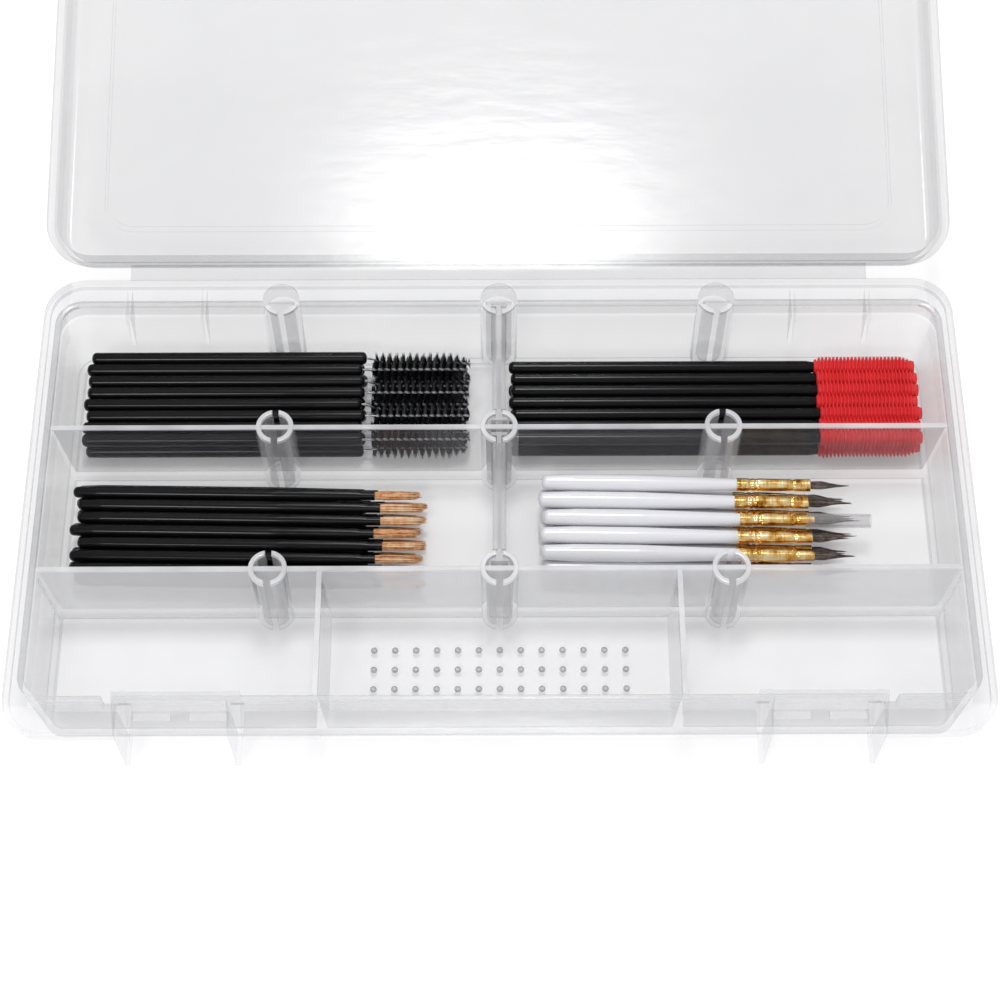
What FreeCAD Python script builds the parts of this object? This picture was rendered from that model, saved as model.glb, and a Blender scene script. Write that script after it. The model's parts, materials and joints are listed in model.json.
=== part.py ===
import FreeCAD, Part
import math
import os

# Clear hinged case for small brushes: a tray in three rows with an open lid, two lift-out
# dividers and four bundles of single-use applicators.
# Frame: origin at the centre of the tray's underside, +X to the right, +Y to the hinge, +Z up.

V = FreeCAD.Vector
X_AXIS = V(1, 0, 0)
Z_AXIS = V(0, 0, 1)

# --- case, in millimetres ---
tolerance = 0.01
case_length = 232.0
flange_front = 62.3
flange_back = 63.3
flange_z = 21.2
rim_height = 6.0
rim_z = flange_z + rim_height
flange_thickness = 1.3
bead_height = 2.8
bead_width = 1.4
flange_corner = 10.0
floor_thickness = 1.5
wall = 1.5
overcut = 1.0
draft = 0.072
cavity_half_length = 108.2
cavity_front = 53.05
cavity_back = 49.65
cavity_corner = 3.4
edge_round = 0.5
foot_round = 1.0

# --- partitions and slotted posts ---
rear_partition_y = 16.3
middle_partition_y = -22.3
partition_top = 1.2
partition_foot = 2.8
partition_z = rim_z - 0.6
post_radius = 4.6
post_bore = 3.4
post_slot = 1.6
post_pitch = 55.0
post_columns = (-post_pitch, 0.0, post_pitch)
back_post_y = 53.3
back_socket_depth = 2.5
short_wall_x = 42.7
web_columns = (-94.8, -75.6, 75.6, 94.8)
web_thickness = 1.2
pip_radius = 0.7
pip_height = 0.4
pip_pitch = 5.12
pip_columns = 13
pip_rows = 3
pip_first_y = -32.5

# --- latch keepers on the front of the tray ---
keeper_x = 74.25
fin_thickness = 3.2
fin_gap = 23.1
fin_front = 63.2
fin_drop = 18.2
fin_tip = 1.2
fin_tip_set_back = 0.4
fin_nose_height = 1.8
keeper_height = 8.6
keeper_front = 56.5
keeper_recess = 61.0
window_offset = 6.5
window_length = 8.8
window_depth = 2.3
notch_width = 2.8
plain_front_half = 41.5
bead_cut_depth = 3.0
window_drop = 4.0

# --- lid ---
lid_half_length = 117.2
lid_front = 63.7
lid_height = 10.45
lid_gap = 0.15
lid_lip_height = 1.9
lid_lip_step = 1.4
lid_wall = 1.3
lid_draft = 0.1
lid_round = 2.4
lid_panel_inset = 13.0
lid_panel_depth = 0.5
lid_panel_corner = 8.0
lid_panel_step = 1.0
lid_corner_extra = 2.0
lid_notch_depth = 6.0
lid_open_angle = 166.0
hinge_half_length = 94.8
hinge_gap = 4.2
hinge_thickness = 0.5
hinge_drop = 0.7
hinge_y = flange_back + hinge_gap / 2

# --- latches ---
latch_width = 22.3
latch_thickness = 1.3
latch_inner = 61.4
latch_length = 17.5
latch_swing = 20.0
latch_hook = 1.1
latch_hook_play = 0.35
latch_hook_nose = 0.6
latch_hook_height = 2.2
latch_lip = 2.6
latch_lip_sag = 0.9
latch_lip_thickness = 1.1
latch_bevel = 0.6
latch_hinge_thickness = 0.4
latch_plate_edge = 60.2
latch_top = flange_z + lid_gap + lid_height - 0.5
latch_pivot_y = -(latch_inner + latch_plate_edge) / 2
latch_pivot_z = latch_top - latch_hinge_thickness / 2
groove_rows = 3
groove_pitch = 1.2
groove_length = 16.0
groove_depth = 0.25
groove_start = 1.8

# --- lift-out dividers ---
divider_thickness = 1.1
divider_bead = 3.2
divider_bead_height = 1.6
divider_end_width = 4.0
divider_end_thickness = 0.9
divider_gap = 0.1
divider_drop = 0.4
post_clearance = 0.3
partition_end_offset = 1.7
back_end_offset = 1.3

# --- applicators ---
stack_gap = 0.06
floor_gap = 0.06


def rounded_outline(x_half, y_low, y_high, radius, z):
    """Closed wire: a rectangle centred on X with round corners, at one height."""
    edges = []
    corners = (
        (x_half - radius, y_high - radius, 0),
        (-x_half + radius, y_high - radius, 90),
        (-x_half + radius, y_low + radius, 180),
        (x_half - radius, y_low + radius, 270),
    )
    arcs = [
        Part.makeCircle(radius, V(x, y, z), Z_AXIS, start, start + 90)
        for x, y, start in corners
    ]
    for arc, following in zip(arcs, arcs[1:] + arcs[:1]):
        arc_end = arc.valueAt(arc.LastParameter)
        next_start = following.valueAt(following.FirstParameter)
        edges += [arc, Part.makeLine(arc_end, next_start)]
    return Part.Wire(edges)


def slab(x_half, y_low, y_high, radius, z_low, z_high):
    """A straight-sided plate with round corners."""
    outline = rounded_outline(x_half, y_low, y_high, radius, z_low)
    return Part.Face(outline).extrude(V(0, 0, z_high - z_low))


def box(x_low, x_high, y_low, y_high, z_low, z_high):
    return Part.makeBox(x_high - x_low, y_high - y_low, z_high - z_low, V(x_low, y_low, z_low))


def column(radius, x, y, z_low, z_high):
    return Part.makeCylinder(radius, z_high - z_low, V(x, y, z_low), Z_AXIS)


def prism(profile, x_low, x_high):
    """A (y, z) polygon carried along X."""
    points = [V(x_low, y, z) for y, z in profile]
    return Part.Face(Part.makePolygon(points + points[:1])).extrude(V(x_high - x_low, 0, 0))


def wedge(bottom, top):
    """A solid between two level rectangles, each (x_low, x_high, y_low, y_high, z)."""
    wires = []
    for x_low, x_high, y_low, y_high, z in (bottom, top):
        points = [V(x_low, y_low, z), V(x_high, y_low, z), V(x_high, y_high, z), V(x_low, y_high, z)]
        wires.append(Part.makePolygon(points + points[:1]))
    return Part.makeLoft(wires, True, True)


def level_edges(shape, z):
    """The edges that lie wholly at one height."""
    return [
        edge
        for edge in shape.Edges
        if abs(edge.BoundBox.ZMin - z) < tolerance and abs(edge.BoundBox.ZMax - z) < tolerance
    ]


def cavity_wire(z, grow):
    """The tray's inner outline at a height, widened by a wall's thickness."""
    spread = draft * (z - floor_thickness) + grow
    return rounded_outline(
        cavity_half_length + spread,
        -cavity_front - spread,
        cavity_back + spread,
        cavity_corner + spread,
        z,
    )


def tray_shell():
    """Floor and four drafted walls, with a round rim and round foot."""
    outside = Part.makeLoft([cavity_wire(0, wall), cavity_wire(rim_z, wall)], True, True)
    outside = outside.makeFillet(foot_round, level_edges(outside, 0))
    inside_wires = [cavity_wire(z, 0) for z in (floor_thickness, rim_z + overcut)]
    inside = Part.makeLoft(inside_wires, True, True)
    inside = inside.makeFillet(foot_round, level_edges(inside, floor_thickness))
    shell = outside.cut(inside)
    return shell.makeFillet(edge_round, level_edges(shell, rim_z))


def flange():
    """The ledge that the lid closes on, with a bead hanging from its edge."""
    z_low = flange_z - flange_thickness
    ledge = slab(case_length / 2, -flange_front, flange_back, flange_corner, z_low, flange_z)
    ledge = ledge.makeFillet(edge_round, level_edges(ledge, flange_z))
    bead = slab(case_length / 2, -flange_front, flange_back, flange_corner, flange_z - bead_height, z_low)
    core = slab(
        case_length / 2 - bead_width,
        -flange_front + bead_width,
        flange_back - bead_width,
        flange_corner - bead_width,
        flange_z - bead_height,
        z_low,
    )
    bead = bead.cut(core)
    bead_back = -flange_front + bead_cut_depth
    bead = bead.cut(box(-plain_front_half, plain_front_half, -case_length, bead_back, 0, z_low))
    opening_wires = [cavity_wire(z, wall / 2) for z in (floor_thickness, rim_z + overcut)]
    return ledge.fuse(bead).cut(Part.makeLoft(opening_wires, True, True))


def partition(y):
    """A drafted wall across the whole tray, ending inside the end walls."""
    foot_half = cavity_half_length + wall / 2
    top_half = foot_half + draft * (partition_z - floor_thickness)
    foot = (-foot_half, foot_half, y - partition_foot / 2, y + partition_foot / 2, floor_thickness / 2)
    top = (-top_half, top_half, y - partition_top / 2, y + partition_top / 2, partition_z)
    return wedge(foot, top)


def partition_post(x, y):
    """A tube round a partition, slotted on both sides for the dividers' ends."""
    half = post_slot / 2
    reach = post_radius + overcut
    tube = column(post_radius, x, y, floor_thickness / 2, rim_z)
    tube = tube.cut(column(post_bore, x, y, floor_thickness, rim_z + overcut))
    tube = tube.cut(box(x - half, x + half, y - reach, y + reach, floor_thickness, rim_z + overcut))
    return tube.makeFillet(edge_round / 2, level_edges(tube, rim_z))


def back_socket(x):
    """The space of a post on the back wall: a part-round hollow and the slot before it."""
    z_low = floor_thickness
    z_high = rim_z + overcut
    half = post_slot / 2
    y_back = back_post_y - post_bore + back_socket_depth
    y_front = back_post_y - post_radius - overcut
    hollow = column(post_bore, x, back_post_y, z_low, z_high)
    hollow = hollow.common(box(x - post_bore, x + post_bore, y_front, y_back, z_low, z_high))
    return hollow.fuse(box(x - half, x + half, y_front, y_back - overcut, z_low, z_high))


def short_wall(x):
    """A fixed wall in the front row, from the middle partition to the front wall."""
    half_foot = partition_foot / 2
    half_top = partition_top / 2
    foot_front = -cavity_front - wall / 2
    top_front = foot_front - draft * (partition_z - floor_thickness)
    foot = (x - half_foot, x + half_foot, foot_front, middle_partition_y, floor_thickness / 2)
    top = (x - half_top, x + half_top, top_front, middle_partition_y, partition_z)
    return wedge(foot, top)


def pips():
    """Rows of small studs on the floor of the middle front compartment."""
    studs = []
    for row in range(pip_rows):
        for number in range(pip_columns):
            x = (number - (pip_columns - 1) / 2) * pip_pitch
            y = pip_first_y - row * pip_pitch
            studs.append(column(pip_radius, x, y, floor_thickness / 2, floor_thickness + pip_height))
    return studs


def back_webs():
    """Gussets under the flange beside the hinge."""
    z_top = flange_z - flange_thickness / 2
    foot_y = cavity_back + wall / 2 + draft * flange_z / 3
    profile = ((foot_y, flange_z / 3), (flange_back - bead_width, z_top), (foot_y, z_top))
    return [prism(profile, x - web_thickness / 2, x + web_thickness / 2) for x in web_columns]


def fin(x, outward):
    """One guard beside a latch: a sloping plate above the flange and a tapering tooth below."""
    x_low = x - fin_thickness / 2
    x_high = x + fin_thickness / 2
    z_flange = flange_z - flange_thickness
    keeper_back = -keeper_front + wall
    profile = (
        (-fin_front, z_flange),
        (-fin_front, flange_z + fin_nose_height),
        (-keeper_front, flange_z + keeper_height),
        (keeper_back, flange_z + keeper_height),
        (keeper_back, z_flange),
    )
    tip_low = x_low if outward < 0 else x_high - fin_tip
    wall_y = -cavity_front - wall / 2
    tooth = wedge(
        (tip_low, tip_low + fin_tip, -fin_front + fin_tip_set_back, wall_y, flange_z - fin_drop),
        (x_low, x_high, -fin_front, wall_y, z_flange),
    )
    return prism(profile, x_low, x_high).fuse(tooth)


def keeper(side):
    """Solid parts of one latch keeper: two fins and the raised tab between them."""
    centre = side * keeper_x
    offset = (fin_gap + fin_thickness) / 2
    z_top = flange_z + keeper_height
    tab = box(centre - offset, centre + offset, -keeper_front, -keeper_front + wall, flange_z, z_top)
    tab = tab.makeFillet(edge_round, level_edges(tab, z_top))
    return [fin(centre - offset, side), fin(centre + offset, side), tab]


def keeper_cuts(side):
    """Spaces of one latch keeper: the flange's recess, two windows and the rim's notch."""
    centre = side * keeper_x
    low = centre - fin_gap / 2
    high = centre + fin_gap / 2
    bead_back = -flange_front + bead_cut_depth
    cuts = [
        box(low, high, -case_length, -keeper_recess, 0, flange_z + overcut),
        box(low, high, -case_length, bead_back, 0, flange_z - flange_thickness),
    ]
    for x in (centre - window_offset, centre + window_offset):
        y = -keeper_front - window_depth
        half = window_length / 2
        cuts.append(box(x - half, x + half, y, -keeper_front, flange_z - window_drop, flange_z + overcut))
    outer = centre + side * (fin_gap / 2 + fin_thickness)
    ends = sorted((outer, outer + side * notch_width))
    cuts.append(box(ends[0], ends[1], -flange_front, -cavity_front, flange_z, rim_z + overcut))
    return cuts


def base_tray():
    """The whole lower moulding."""
    shell = tray_shell().fuse(flange())
    for x in post_columns:
        shell = shell.fuse(column(post_radius, x, back_post_y, 0, rim_z))
    for x in post_columns:
        shell = shell.cut(back_socket(x))
    for side in (-1, 1):
        for space in keeper_cuts(side):
            shell = shell.cut(space)
    additions = [partition(rear_partition_y), partition(middle_partition_y)]
    for x in post_columns:
        additions += [partition_post(x, rear_partition_y), partition_post(x, middle_partition_y)]
    for x in (-short_wall_x, short_wall_x):
        additions.append(short_wall(x))
    additions += back_webs()
    additions += pips()
    for side in (-1, 1):
        additions += keeper(side)
    return shell.multiFuse(additions).removeSplitter()


def opened(shape):
    """Turn a piece of the lid from closed to where it lies open."""
    turned = shape.copy()
    turned.rotate(V(0, hinge_y, flange_z), X_AXIS, -lid_open_angle)
    return turned


def turned_point(y, z, centre_y, centre_z, degrees):
    angle = math.radians(degrees)
    dy = y - centre_y
    dz = z - centre_z
    new_y = centre_y + dy * math.cos(angle) - dz * math.sin(angle)
    new_z = centre_z + dy * math.sin(angle) + dz * math.cos(angle)
    return new_y, new_z


def lid_wire(z, inset):
    """The lid's outline at a height above the flange, drawn in by an inset."""
    shrink = inset + lid_draft * (z - flange_z)
    corner = flange_corner + lid_corner_extra - shrink
    return rounded_outline(lid_half_length - shrink, -lid_front + shrink, flange_back - shrink, corner, z)


def lid_hollow(z_low, z_top):
    """The space under the lid's top, with the sunk panel's underside standing into it."""
    inset = lid_lip_step + lid_wall
    ceiling = z_top - lid_wall
    hollow = Part.makeLoft([lid_wire(z_low - overcut, inset), lid_wire(ceiling, inset)], True, True)
    hollow = hollow.makeFillet(lid_round - lid_wall, level_edges(hollow, ceiling))
    edge = lid_panel_inset + lid_panel_step
    corner = lid_panel_corner - lid_panel_step
    shelf_low = ceiling - lid_panel_depth
    shelf = slab(lid_half_length - edge, -lid_front + edge, flange_back - edge, corner, shelf_low, ceiling)
    return hollow.cut(shelf)


def lid():
    """The lid as moulded, closed: skirt, lip and a top with a shallow sunk panel."""
    z_low = flange_z + lid_gap
    z_top = z_low + lid_height
    lip_top = z_low + lid_lip_height
    corner = flange_corner + lid_corner_extra
    body = Part.makeLoft([lid_wire(z_low, lid_lip_step), lid_wire(z_top, lid_lip_step)], True, True)
    body = body.makeFillet(lid_round, level_edges(body, z_top))
    lip = slab(lid_half_length, -lid_front, flange_back, corner, z_low, lip_top)
    lip = lip.makeFillet(edge_round, level_edges(lip, lip_top))
    edge = lid_panel_inset
    panel_low = z_top - lid_panel_depth
    x_half = lid_half_length - edge
    panel = slab(x_half, -lid_front + edge, flange_back - edge, lid_panel_corner, panel_low, z_top + overcut)
    body = body.fuse(lip).cut(lid_hollow(z_low, z_top)).cut(panel)
    reach = fin_gap / 2 + fin_thickness + edge_round
    for centre in (-keeper_x, keeper_x):
        low = centre - reach
        high = centre + reach
        skirt_y = -lid_front + lid_notch_depth
        body = body.cut(box(low, high, -case_length, skirt_y, z_low - overcut, z_top - lid_wall))
        body = body.cut(box(low, high, -case_length, -latch_plate_edge, 0, z_top + overcut))
    return opened(body.removeSplitter())


def lid_hinge_strip():
    """The thin web that joins tray and lid, as it lies with the lid open."""
    low = flange_z - hinge_drop
    near = [(flange_back, low), (flange_back, low + hinge_thickness)]
    far = [
        turned_point(flange_back, flange_z + drop, hinge_y, flange_z, -lid_open_angle)
        for drop in (hinge_drop - hinge_thickness, hinge_drop)
    ]
    return prism(near + far, -hinge_half_length, hinge_half_length)


def swung(shape):
    """Swing a latch outwards from its locked place to its free rest."""
    loose = shape.copy()
    loose.rotate(V(0, latch_pivot_y, latch_pivot_z), X_AXIS, -latch_swing)
    return loose


def latch(side):
    """A flap with a hook inside, three grip grooves and a finger lip at its end."""
    inner = -latch_inner
    outer = inner - latch_thickness
    lip_y = outer - latch_lip
    bottom = latch_top - latch_length
    hook_top = flange_z - flange_thickness - latch_hook_play
    profile = (
        (inner, latch_top),
        (inner, hook_top),
        (inner + latch_hook, hook_top),
        (inner + latch_hook, hook_top - latch_hook_nose),
        (inner, hook_top - latch_hook_height),
        (inner, bottom + latch_lip_thickness),
        (inner - latch_bevel, bottom),
        (lip_y, bottom - latch_lip_sag),
        (lip_y, bottom - latch_lip_sag + latch_lip_thickness),
        (outer, bottom + latch_thickness),
        (outer, latch_top - latch_bevel),
        (outer + latch_bevel, latch_top),
    )
    centre = side * keeper_x
    flap = prism(profile, centre - latch_width / 2, centre + latch_width / 2)
    half = groove_length / 2
    for row in range(groove_rows):
        z = bottom + groove_start + row * groove_pitch
        y_low = outer - groove_depth
        y_high = outer + groove_depth
        flap = flap.cut(box(centre - half, centre + half, y_low, y_high, z, z + groove_pitch / 2))
    return opened(swung(flap))


def latch_strip(side):
    """The thin web between the lid's edge and a latch."""
    z_low = latch_top - latch_hinge_thickness
    plate = ((-latch_plate_edge, latch_top), (-latch_plate_edge, z_low))
    flap = [
        turned_point(-latch_inner, z, latch_pivot_y, latch_pivot_z, -latch_swing) for z in (z_low, latch_top)
    ]
    centre = side * keeper_x
    strip = prism((plate[0], plate[1], flap[0], flap[1]), centre - latch_width / 2, centre + latch_width / 2)
    return opened(strip)


def divider(front_y, back_y, front_end, back_end):
    """A lift-out wall: a thin web, a bead along its top and a cross-piece at each end."""
    z_low = floor_thickness + divider_gap
    z_high = rim_z - divider_drop
    half = divider_thickness / 2
    half_bead = divider_bead / 2
    cross = divider_end_width / 2
    bead_front = front_y + post_radius + post_clearance
    bead_back = back_y - post_radius - post_clearance
    web = box(-half, half, front_end, back_end, z_low, z_high)
    bead = box(-half_bead, half_bead, bead_front, bead_back, z_high - divider_bead_height, z_high)
    long_edges = [edge for edge in bead.Edges if edge.BoundBox.YLength > divider_bead]
    bead = bead.makeFillet(edge_round, long_edges)
    front = box(-cross, cross, front_end, front_end + divider_end_thickness, z_low, z_high)
    back = box(-cross, cross, back_end - divider_end_thickness, back_end, z_low, z_high)
    return web.multiFuse([bead, front, back]).removeSplitter()


def rod(radius, start, length):
    """A plain round bar along +X."""
    return Part.makeCylinder(radius, length, V(start, 0, 0), X_AXIS)


def turned(points, rounds=()):
    """A round bar along +X from (x, radius) points, with the ends at given x rounded."""
    outline = [V(x, 0, radius) for x, radius in points]
    outline = [V(points[0][0], 0, 0)] + outline + [V(points[-1][0], 0, 0)]
    bar = Part.Face(Part.makePolygon(outline + outline[:1])).revolve(V(0, 0, 0), X_AXIS, 360)
    for x, radius in rounds:
        rims = [
            edge
            for edge in bar.Edges
            if edge.BoundBox.XLength < tolerance and abs(edge.BoundBox.XMin - x) < tolerance
        ]
        bar = bar.makeFillet(radius, rims)
    return bar


def layer_places(kit, layer):
    """Where each applicator of one layer lies: (x, y, z) of its tail, its axis level."""
    number, shift = kit["layers"][layer]
    spacing = 2 * kit["radius"] + stack_gap
    rise = math.sqrt(spacing**2 - (kit["pitch"] / 2) ** 2)
    z = floor_thickness + floor_gap + kit["radius"] + layer * rise
    places = []
    for index in range(number):
        x = kit["tail_x"] + kit["scatter"] * math.sin(2.4 * index + 1.7 * layer)
        y = kit["first_y"] + (index + shift) * kit["pitch"]
        places.append((x, y, z))
    return places


def laid(kit, layer, bar):
    """Copies of one bar, laid where the layer's applicators lie."""
    copies = []
    for x, y, z in layer_places(kit, layer):
        copy = bar.copy()
        copy.rotate(V(0, 0, 0), Z_AXIS, kit["yaw"])
        copy.translate(V(x, y, z))
        copies.append(copy)
    return Part.makeCompound(copies)


spoolies = {
    "tail_x": -105.6,
    "first_y": 22.7,
    "pitch": 3.45,
    "radius": 1.65,
    "layers": ((8, 0), (7, 0.5), (8, 0)),
    "scatter": 0.5,
    "yaw": 0.0,
}
handle_round = 1.2
spoolie_handle_length = 71.0
spoolie_neck_length = 2.0
spoolie_head_length = 25.0
spoolie_head_root = 2.0
spoolie_head_nose = 5.0
spoolie_head_end_radius = 1.0
spoolie_wire_radius = 0.4
spoolie_socket_depth = 4.0

silicone_wands = {
    "tail_x": 2.9,
    "first_y": 22.8,
    "pitch": 3.5,
    "radius": 1.65,
    "layers": ((7, 0), (6, 0.5), (7, 0)),
    "scatter": 0.4,
    "yaw": 0.0,
}
silicone_handle_length = 78.6
silicone_handle_taper = 2.0
silicone_seat_radius = 1.35
silicone_head_length = 26.0
silicone_head_root = 1.5
silicone_head_nose = 4.0
silicone_head_end_radius = 1.0
silicone_pin_radius = 0.8
silicone_pin_length = 20.0

lip_brushes = {
    "tail_x": -105.6,
    "first_y": -13.3,
    "pitch": 3.55,
    "radius": 1.6,
    "layers": ((7, 0), (8, -0.5), (7, 0)),
    "scatter": 1.2,
    "yaw": -1.0,
}
lip_handle_length = 72.0
lip_tail_radius = 1.35
lip_tail_length = 6.0
lip_taper_length = 22.0
lip_neck_length = 3.5
lip_neck_radius = 1.15
lip_hair_length = 10.5
lip_hair_swell = 0.3
lip_hair_swell_length = 4.0
lip_hair_nose = 3.0
lip_hair_end_radius = 0.35

liner_brushes = {
    "tail_x": 10.4,
    "first_y": -10.4,
    "pitch": 4.9,
    "radius": 2.15,
    "layers": ((5, 0), (5, -0.5), (5, 0)),
    "scatter": 0.6,
    "yaw": -1.0,
}
liner_handle_length = 49.0
liner_tail_radius = 1.8
liner_tail_length = 8.0
liner_taper_start = 24.0
liner_ferrule_length = 18.0
liner_ferrule_straight = 7.0
liner_ferrule_back = 1.5
liner_ferrule_front = 1.3
liner_ferrule_wall = 0.3
liner_tenon_length = 6.0
liner_hair_length = 10.0
liner_hair_root_length = 3.0
liner_hair_nose = 2.0
liner_hair_nose_radius = 0.45
liner_hair_end_radius = 0.15
liner_sleeve_radius = 1.75
liner_sleeve_bore = 1.45
liner_sleeve_length = 16.0
liner_sleeve_overlap = 2.0
liner_sleeve_place = 2

layer_names = ("bottom", "middle", "top")


def spoolie_handle():
    end = spoolie_handle_length
    radius = spoolies["radius"]
    bar = turned(((0, radius), (end, radius)), ((0, handle_round), (end, handle_round)))
    return bar.cut(rod(spoolie_wire_radius, end - spoolie_socket_depth, spoolie_socket_depth))


def spoolie_wire():
    start = spoolie_handle_length - spoolie_socket_depth
    return rod(spoolie_wire_radius, start, spoolie_socket_depth + spoolie_neck_length + spoolie_head_length)


def spoolie_head():
    start = spoolie_handle_length + spoolie_neck_length
    end = start + spoolie_head_length
    radius = spoolies["radius"]
    outline = (
        (start, spoolie_head_end_radius),
        (start + spoolie_head_root, radius),
        (end - spoolie_head_nose, radius),
        (end, spoolie_head_end_radius),
    )
    return turned(outline).cut(rod(spoolie_wire_radius, start - overcut, spoolie_head_length + 2 * overcut))


def silicone_handle():
    end = silicone_handle_length
    radius = silicone_wands["radius"]
    outline = ((0, radius), (end - silicone_handle_taper, radius), (end, silicone_seat_radius))
    bar = turned(outline, ((0, handle_round),))
    return bar.fuse(rod(silicone_pin_radius, end, silicone_pin_length)).removeSplitter()


def silicone_head():
    start = silicone_handle_length
    end = start + silicone_head_length
    radius = silicone_wands["radius"]
    outline = (
        (start, silicone_seat_radius),
        (start + silicone_head_root, radius),
        (end - silicone_head_nose, radius),
        (end, silicone_head_end_radius),
    )
    return turned(outline).cut(rod(silicone_pin_radius, start, silicone_pin_length))


def lip_handle():
    end = lip_handle_length
    radius = lip_brushes["radius"]
    outline = (
        (0, lip_tail_radius),
        (lip_tail_length, radius),
        (end - lip_taper_length, radius),
        (end, lip_tail_radius),
        (end, lip_neck_radius),
        (end + lip_neck_length, lip_neck_radius),
    )
    return turned(outline, ((0, handle_round),))


def lip_hair():
    start = lip_handle_length + lip_neck_length
    end = start + lip_hair_length
    outline = (
        (start, lip_neck_radius),
        (start + lip_hair_swell_length, lip_neck_radius + lip_hair_swell),
        (end - lip_hair_nose, lip_neck_radius),
        (end, lip_hair_end_radius),
    )
    return turned(outline)


def liner_handle():
    end = liner_handle_length
    radius = liner_brushes["radius"]
    bore = liner_ferrule_back - liner_ferrule_wall
    outline = (
        (0, liner_tail_radius),
        (liner_tail_length, radius),
        (liner_taper_start, radius),
        (end, liner_ferrule_back),
        (end, bore),
        (end + liner_tenon_length, bore),
    )
    return turned(outline, ((0, handle_round),))


def liner_ferrule():
    start = liner_handle_length
    knee = start + liner_ferrule_straight
    end = start + liner_ferrule_length
    back = liner_ferrule_back
    front = liner_ferrule_front
    outside = turned(((start, back), (knee, back), (end, front)))
    back -= liner_ferrule_wall
    front -= liner_ferrule_wall
    return outside.cut(turned(((start, back), (knee, back), (end, front))))


def liner_hair():
    start = liner_handle_length + liner_ferrule_length
    end = start + liner_hair_length
    root = liner_ferrule_front - liner_ferrule_wall
    outline = (
        (start - liner_hair_root_length, root),
        (start + liner_hair_root_length, root),
        (end - liner_hair_nose, liner_hair_nose_radius),
        (end, liner_hair_end_radius),
    )
    return turned(outline)


def liner_tip_sleeve():
    """The clear tube left on one brush of the top layer."""
    start = liner_handle_length + liner_ferrule_length - liner_sleeve_overlap
    tube = rod(liner_sleeve_radius, start, liner_sleeve_length)
    tube = tube.cut(rod(liner_sleeve_bore, start, liner_sleeve_length))
    tubes = laid(liner_brushes, len(layer_names) - 1, tube).Solids
    return Part.Compound([tubes[liner_sleeve_place]])


def applicator_nodes():
    """Each layer's pieces of one kind share a node."""
    makers = (
        ("spoolie_handles", spoolies, spoolie_handle()),
        ("spoolie_wires", spoolies, spoolie_wire()),
        ("spoolie_heads", spoolies, spoolie_head()),
        ("silicone_handles", silicone_wands, silicone_handle()),
        ("silicone_heads", silicone_wands, silicone_head()),
        ("lip_handles", lip_brushes, lip_handle()),
        ("lip_hair", lip_brushes, lip_hair()),
        ("liner_handles", liner_brushes, liner_handle()),
        ("liner_ferrules", liner_brushes, liner_ferrule()),
        ("liner_hair", liner_brushes, liner_hair()),
    )
    nodes = {}
    for name, kit, bar in makers:
        for layer, layer_name in enumerate(layer_names):
            nodes[name + "_" + layer_name] = laid(kit, layer, bar)
    nodes["liner_tip_sleeve"] = liner_tip_sleeve()
    return nodes


def all_nodes():
    nodes = {
        "base_tray": base_tray(),
        "lid": lid(),
        "lid_hinge_strip": lid_hinge_strip(),
        "latch_left": latch(-1),
        "latch_right": latch(1),
        "latch_strip_left": latch_strip(-1),
        "latch_strip_right": latch_strip(1),
        "rear_divider": divider(
            rear_partition_y,
            back_post_y,
            rear_partition_y + partition_end_offset,
            back_post_y - back_end_offset,
        ),
        "middle_divider": divider(
            middle_partition_y,
            rear_partition_y,
            middle_partition_y + partition_end_offset,
            rear_partition_y - partition_end_offset,
        ),
    }
    nodes.update(applicator_nodes())
    return nodes


def main():
    os.makedirs("parts", exist_ok=True)
    for name, shape in all_nodes().items():
        print(name, "solids", len(shape.Solids), "valid", shape.isValid(), "volume", round(shape.Volume, 1))
        shape.exportStep("parts/" + name + ".step")


main()
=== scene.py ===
import json
import math

import bpy
import numpy as np
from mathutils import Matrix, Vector


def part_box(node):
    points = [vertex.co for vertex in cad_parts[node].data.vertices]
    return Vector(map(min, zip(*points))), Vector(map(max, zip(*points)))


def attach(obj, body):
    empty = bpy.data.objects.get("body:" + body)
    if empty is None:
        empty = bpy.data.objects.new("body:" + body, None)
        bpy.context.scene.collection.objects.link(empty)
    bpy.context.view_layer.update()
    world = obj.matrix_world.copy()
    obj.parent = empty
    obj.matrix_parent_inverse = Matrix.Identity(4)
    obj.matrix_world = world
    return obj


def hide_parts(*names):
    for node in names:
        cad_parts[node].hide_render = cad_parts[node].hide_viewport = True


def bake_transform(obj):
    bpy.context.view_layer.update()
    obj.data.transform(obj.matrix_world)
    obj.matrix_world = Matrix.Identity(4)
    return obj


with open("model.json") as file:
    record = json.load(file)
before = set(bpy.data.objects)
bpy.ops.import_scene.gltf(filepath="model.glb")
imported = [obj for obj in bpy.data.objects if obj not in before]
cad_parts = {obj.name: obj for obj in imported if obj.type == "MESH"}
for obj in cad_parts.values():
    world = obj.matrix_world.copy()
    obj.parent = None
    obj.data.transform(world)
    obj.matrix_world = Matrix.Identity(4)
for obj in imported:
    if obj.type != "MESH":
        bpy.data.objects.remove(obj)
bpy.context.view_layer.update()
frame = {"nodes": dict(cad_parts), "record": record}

MM = 0.001
TURN = 2.0 * math.pi
LAYERS = ("bottom", "middle", "top")

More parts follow.
